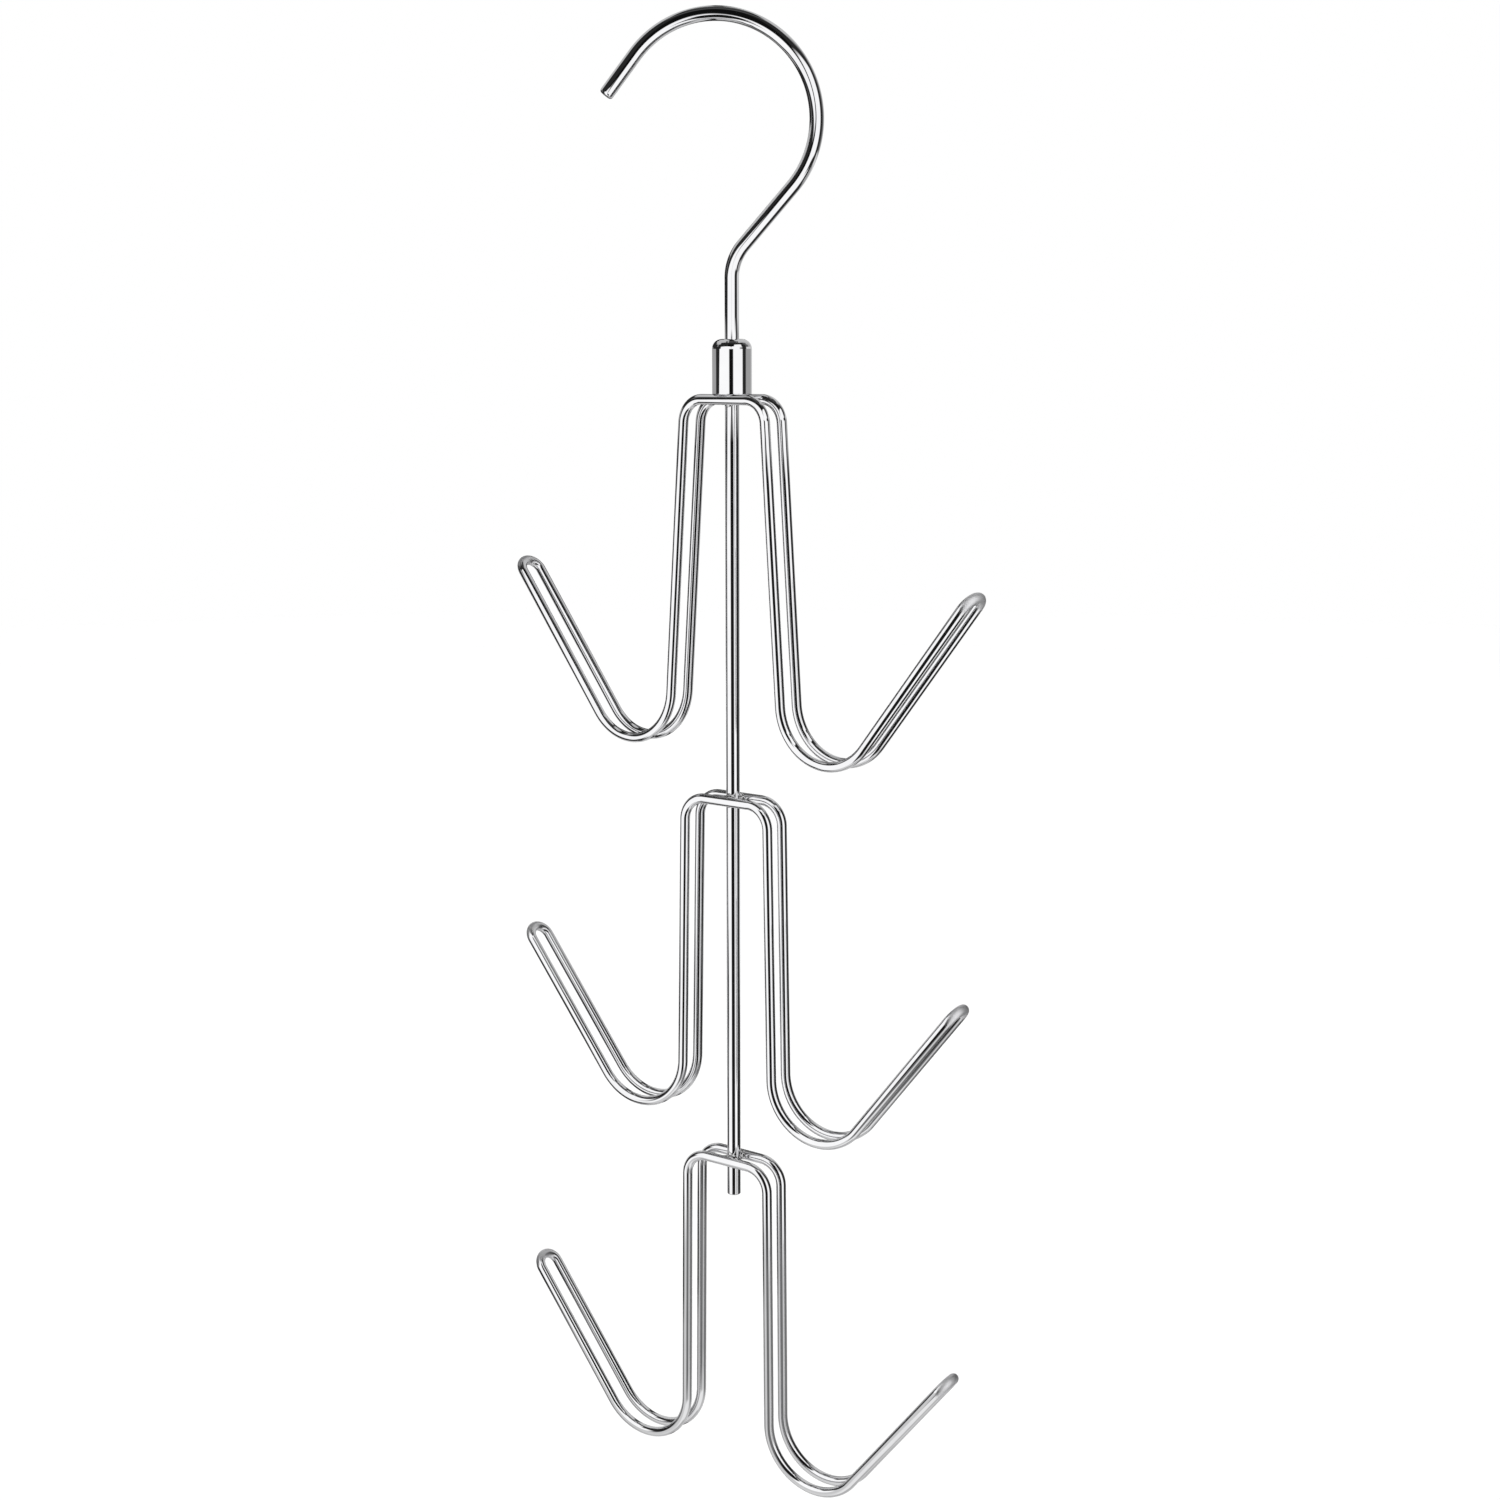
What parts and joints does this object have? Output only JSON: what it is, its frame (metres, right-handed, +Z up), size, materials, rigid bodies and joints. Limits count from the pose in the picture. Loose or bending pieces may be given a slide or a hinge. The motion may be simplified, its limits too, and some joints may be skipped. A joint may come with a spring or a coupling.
{
  "type": "rotating purse hanger",
  "caption": "Chromed wire purse hanger: a rail hook that swivels in a domed ferrule, above a straight rod with tiers of open wire hooks for bag handles.",
  "frame": {"origin": "where the swivel axis meets the inner face of the hook, the point that rests on the closet rail", "axes": "+Z up along the swivel axis and the rod; +X along the crossbars of the two lower loops"},
  "size_m": [0.1676, 0.0366, 0.4265],
  "materials": {
    "hook_chrome": "mirror bright plating",
    "ferrule_chrome": "mirror bright plating on a turned cup",
    "rod_chrome": "mirror bright plating",
    "loop_chrome": "mirror bright plating",
    "weld_chrome": "plated weld nugget, a little dull",
    "plain_steel": "plain turned steel, hidden inside the ferrule"
  },
  "bodies": {
    "hook": {"swivel_hook": "hook_chrome"},
    "hanger": {"swivel_washer": "plain_steel", "swivel_ferrule": "ferrule_chrome", "ferrule_plug": "plain_steel", "centre_rod": "rod_chrome", "top_tier_loop": "loop_chrome", "middle_tier_loop": "loop_chrome", "lower_tier_loop": "loop_chrome", "top_tier_front_weld": "weld_chrome", "top_tier_back_weld": "weld_chrome", "middle_tier_front_weld": "weld_chrome", "middle_tier_back_weld": "weld_chrome", "lower_tier_front_weld": "weld_chrome", "lower_tier_back_weld": "weld_chrome"}
  },
  "joints": [
    {"name": "hook_swivel", "type": "hinge", "parent": "hook", "child": "hanger", "pos_m": [0, 0, -0.087], "axis": [0, 0, 1], "continuous": true}
  ]
}
